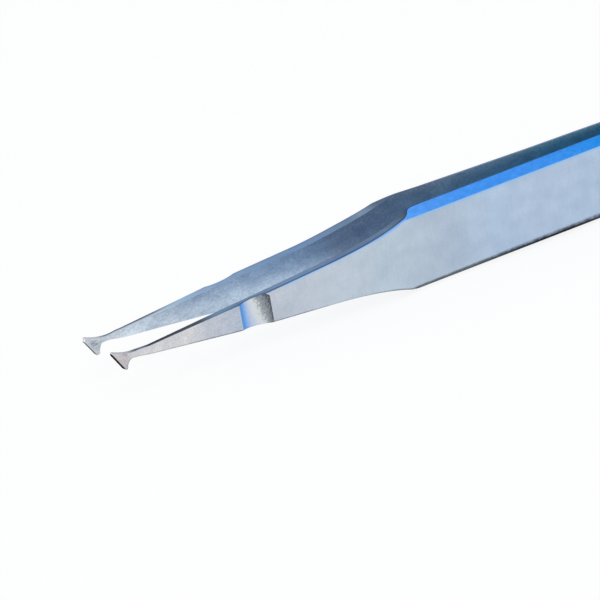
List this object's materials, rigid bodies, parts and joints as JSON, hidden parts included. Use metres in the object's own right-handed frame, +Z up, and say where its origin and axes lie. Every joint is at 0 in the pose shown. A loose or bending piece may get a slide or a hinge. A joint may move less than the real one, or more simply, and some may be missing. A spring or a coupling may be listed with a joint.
{
  "type": "tweezers",
  "caption": "Slim stainless steel tweezers with sprung arms joined at the tail, bevelled grips, a scallop across each tapering shank and flat slanted bar tips.",
  "frame": {"origin": "middle of the bounding box, on the ground under the lower long edges of the arms", "axes": "+X towards the welded tail with the tips at -X, +Y from the left arm to the right arm, +Z up across the width of the arms"},
  "size_m": [0.12, 0.008, 0.01],
  "materials": {
    "steel": "satin, finely ground across the width"
  },
  "bodies": {
    "left_arm": {"left_arm": "steel"},
    "right_arm": {"right_arm": "steel"}
  },
  "joints": [
    {"name": "squeeze", "type": "hinge", "parent": "left_arm", "child": "right_arm", "pos_m": [0.054, 0, 0.005], "axis": [0, 0, 1], "range_deg": [0, 3.12], "stiffness_Nm_per_rad": 3.5}
  ]
}
